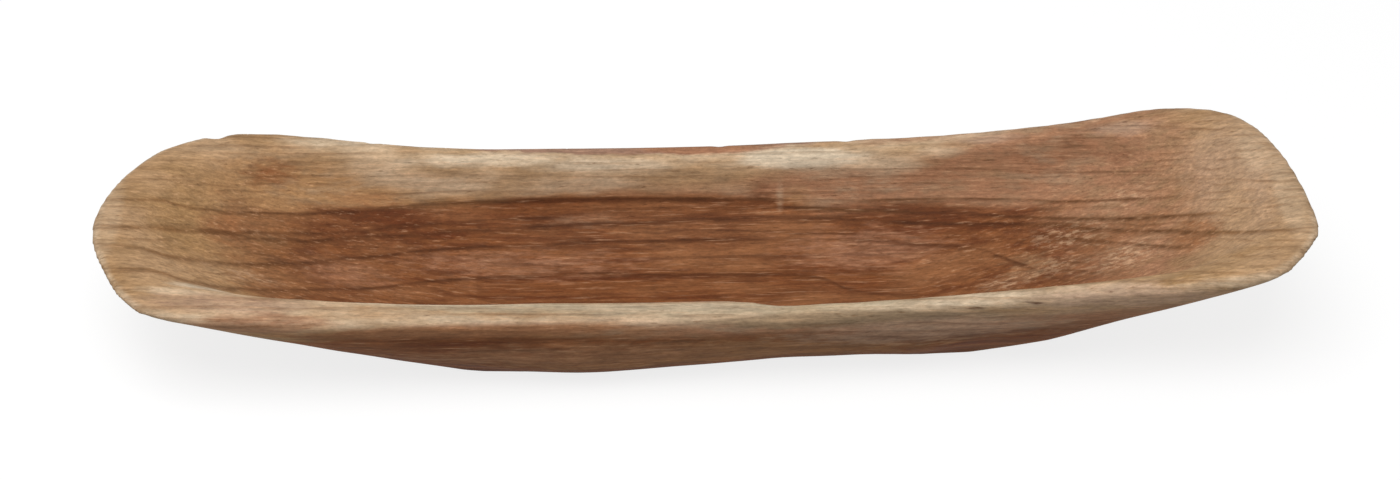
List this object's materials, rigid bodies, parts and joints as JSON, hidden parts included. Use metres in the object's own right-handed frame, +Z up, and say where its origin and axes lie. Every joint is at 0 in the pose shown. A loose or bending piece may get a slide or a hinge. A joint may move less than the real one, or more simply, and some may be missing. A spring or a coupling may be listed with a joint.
{
  "type": "snack boat",
  "caption": "Long narrow serving boat carved from one piece of wood, with a deep hollow, a soft rim that dips in the middle and two raised ends",
  "frame": {"origin": "on the standing face, under the middle of the boat's box", "axes": "+X along the boat to its higher, squarer end; +Y across it to the far rim; +Z up out of the hollow"},
  "size_m": [0.5014, 0.1242, 0.0688],
  "materials": {
    "wood": "sanded and lightly oiled, matt"
  },
  "bodies": {
    "root": {"tray": "wood"}
  },
  "joints": []
}
